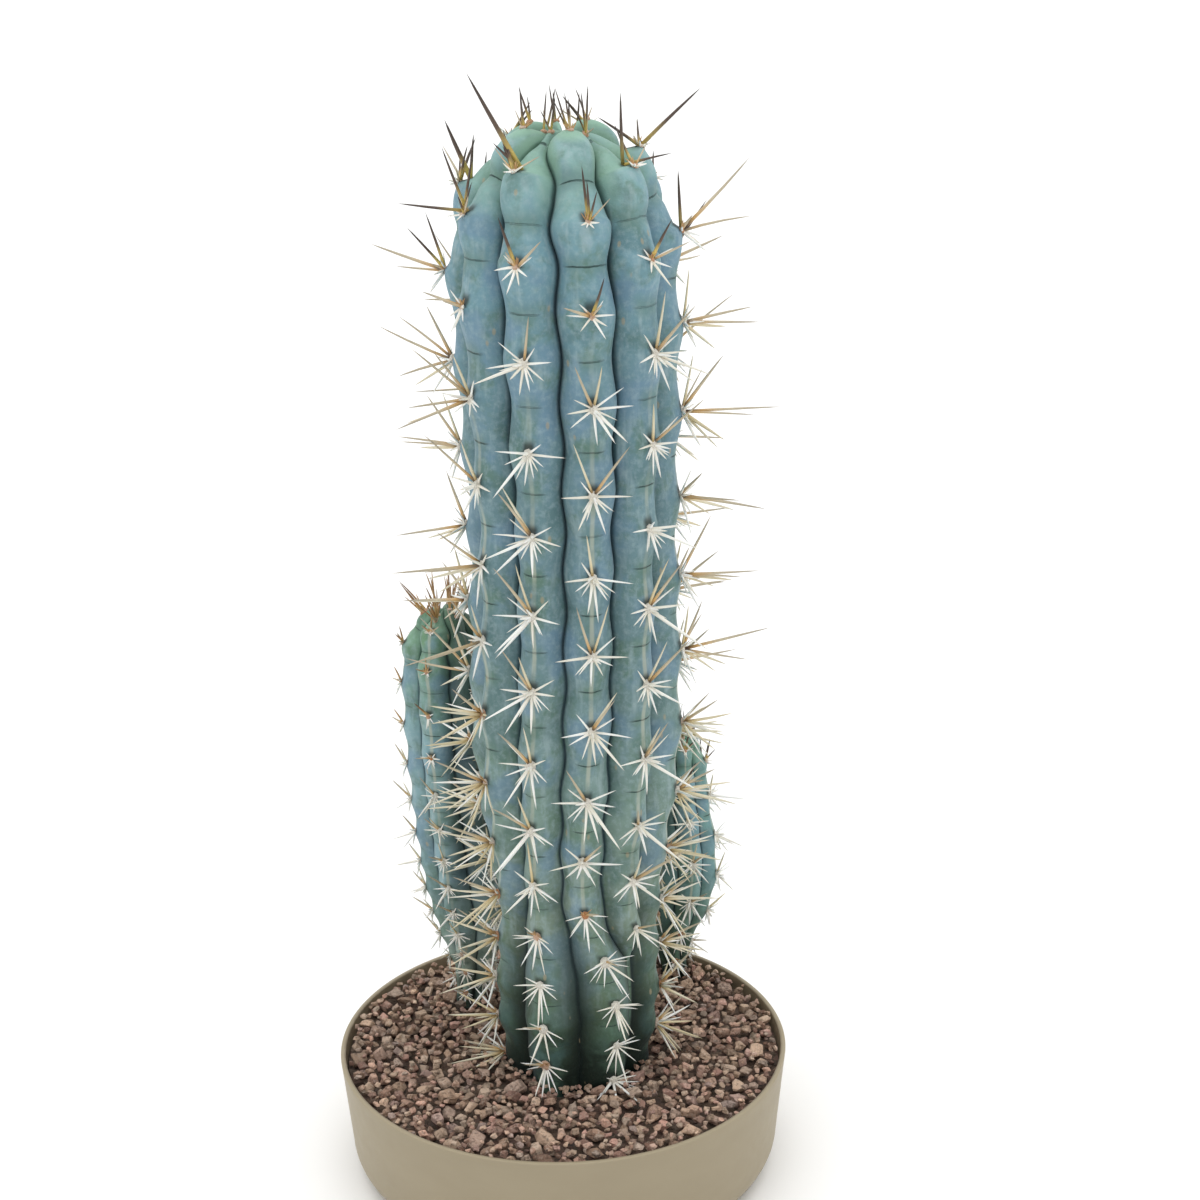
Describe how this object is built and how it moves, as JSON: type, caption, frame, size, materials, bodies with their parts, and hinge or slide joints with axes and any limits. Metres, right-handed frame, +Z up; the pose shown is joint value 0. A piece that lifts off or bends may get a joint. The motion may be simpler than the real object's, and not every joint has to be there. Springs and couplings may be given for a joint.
{
  "type": "potted columnar cactus",
  "caption": "Tall blue-green ribbed columnar cactus with long spines and side shoots, rooted in a shallow round bowl topped with crushed lava.",
  "frame": {"origin": "centre of the bowl's flat base, on the surface that it stands on", "axes": "+Z up along the stems, -Y towards the front that the picture shows, +X to its right"},
  "size_m": [0.26, 0.26, 0.6265],
  "materials": {
    "bowl_plastic": "matte",
    "potting_soil": "matte",
    "lava_gravel": "matte",
    "stem_skin": "matte",
    "spines": "satin"
  },
  "bodies": {
    "root": {"pot": "bowl_plastic", "potting_soil": "potting_soil", "gravel_layer": "lava_gravel", "main_stem": "stem_skin", "left_shoot": "stem_skin", "right_shoot": "stem_skin", "gravel_stone_01": "lava_gravel", "gravel_stone_02": "lava_gravel", "gravel_stone_03": "lava_gravel", "gravel_stone_04": "lava_gravel", "gravel_stone_05": "lava_gravel", "gravel_stone_06": "lava_gravel", "gravel_stone_07": "lava_gravel", "gravel_stone_08": "lava_gravel", "gravel_stone_09": "lava_gravel", "gravel_stone_10": "lava_gravel", "gravel_stone_11": "lava_gravel", "gravel_stone_12": "lava_gravel", "gravel_stone_13": "lava_gravel", "gravel_stone_14": "lava_gravel", "gravel_stone_15": "lava_gravel", "gravel_stone_16": "lava_gravel", "gravel_stone_17": "lava_gravel", "gravel_stone_18": "lava_gravel", "gravel_stone_19": "lava_gravel", "gravel_stone_20": "lava_gravel", "gravel_stone_21": "lava_gravel", "gravel_stone_22": "lava_gravel", "gravel_stone_23": "lava_gravel", "gravel_stone_24": "lava_gravel"}
  },
  "joints": []
}
